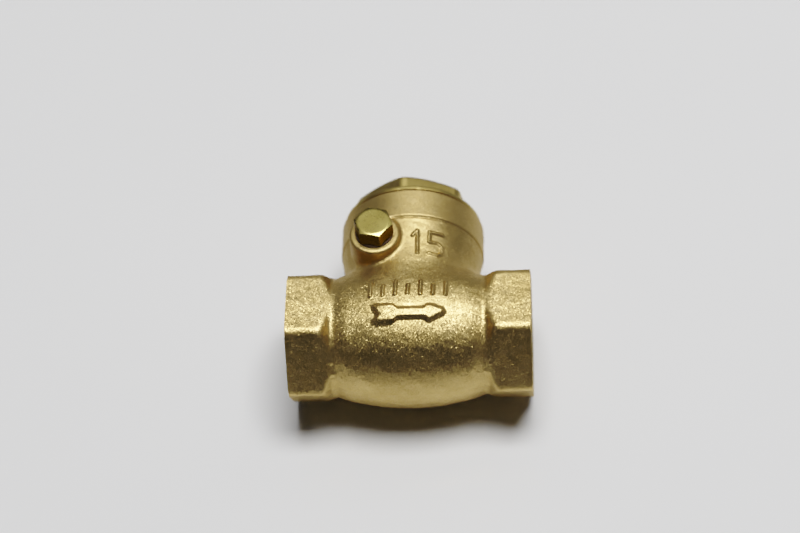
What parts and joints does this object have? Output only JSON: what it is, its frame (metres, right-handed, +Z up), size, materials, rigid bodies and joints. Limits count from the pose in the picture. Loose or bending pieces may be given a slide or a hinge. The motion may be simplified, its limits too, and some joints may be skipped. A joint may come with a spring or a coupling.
{
  "type": "check valve",
  "caption": "Brass swing check valve with hexagonal female pipe-thread ends, screwed bonnet, and a hinged soft-seated disc that lets flow pass one way.",
  "frame": {"origin": "crossing point of the flow axis, through both pipe threads, and the axis of the bonnet neck", "axes": "+X is the direction of flow, from inlet to outlet; +Z points up the bonnet neck; -Y is the side with the hinge-pin plug and the flow arrow"},
  "size_m": [0.05, 0.0342, 0.0483],
  "materials": {
    "cast_brass": "sand-blasted casting, fine grain",
    "turned_brass": "satin, lightly machined",
    "plug_brass": "smooth bar brass",
    "inner_brass": "machined",
    "stainless": "ground",
    "seal_rubber": "matt nitrile rubber",
    "gasket": "compressed fibre, dark brown"
  },
  "bodies": {
    "body": {"valve_body": "cast_brass", "hinge_pin": "stainless"},
    "gasket_ring": {"bonnet_gasket": "gasket"},
    "bonnet": {"bonnet_cap": "turned_brass"},
    "plug_ring": {"plug_seal": "gasket"},
    "plug": {"pin_plug": "plug_brass"},
    "hanger": {"hanger_arm": "inner_brass"},
    "flap": {"disc": "inner_brass", "disc_seal": "seal_rubber", "seal_plate": "inner_brass", "seal_screw": "stainless", "disc_washer": "inner_brass", "disc_nut": "inner_brass"}
  },
  "joints": [
    {"name": "hanger_swing", "type": "hinge", "parent": "body", "child": "hanger", "pos_m": [-0.00695, 0, 0.01544], "axis": [0, -1, 0], "range_deg": [0, 55]},
    {"name": "flap_spin", "type": "hinge", "parent": "hanger", "child": "flap", "pos_m": [-0.005, 0, 0], "axis": [1, 0, 0], "continuous": true},
    {"name": "bonnet_lift", "type": "slide", "parent": "body", "child": "gasket_ring", "axis": [0, 0, 1], "range_m": [0, 0.006]},
    {"name": "bonnet_turn", "type": "hinge", "parent": "gasket_ring", "child": "bonnet", "pos_m": [0, 0, 0.0275], "axis": [0, 0, 1], "range_deg": [0, 1440]},
    {"name": "plug_out", "type": "slide", "parent": "body", "child": "plug_ring", "axis": [0, -1, 0], "range_m": [0, 0.003]},
    {"name": "plug_turn", "type": "hinge", "parent": "plug_ring", "child": "plug", "pos_m": [-0.00695, -0.0157, 0.01544], "axis": [0, -1, 0], "range_deg": [0, 1080]}
  ],
  "couplings": [
    {"joint": "bonnet_lift", "follows": "bonnet_turn", "m_per_rad": 0.00023873},
    {"joint": "plug_out", "follows": "plug_turn", "m_per_rad": 0.00015915}
  ]
}
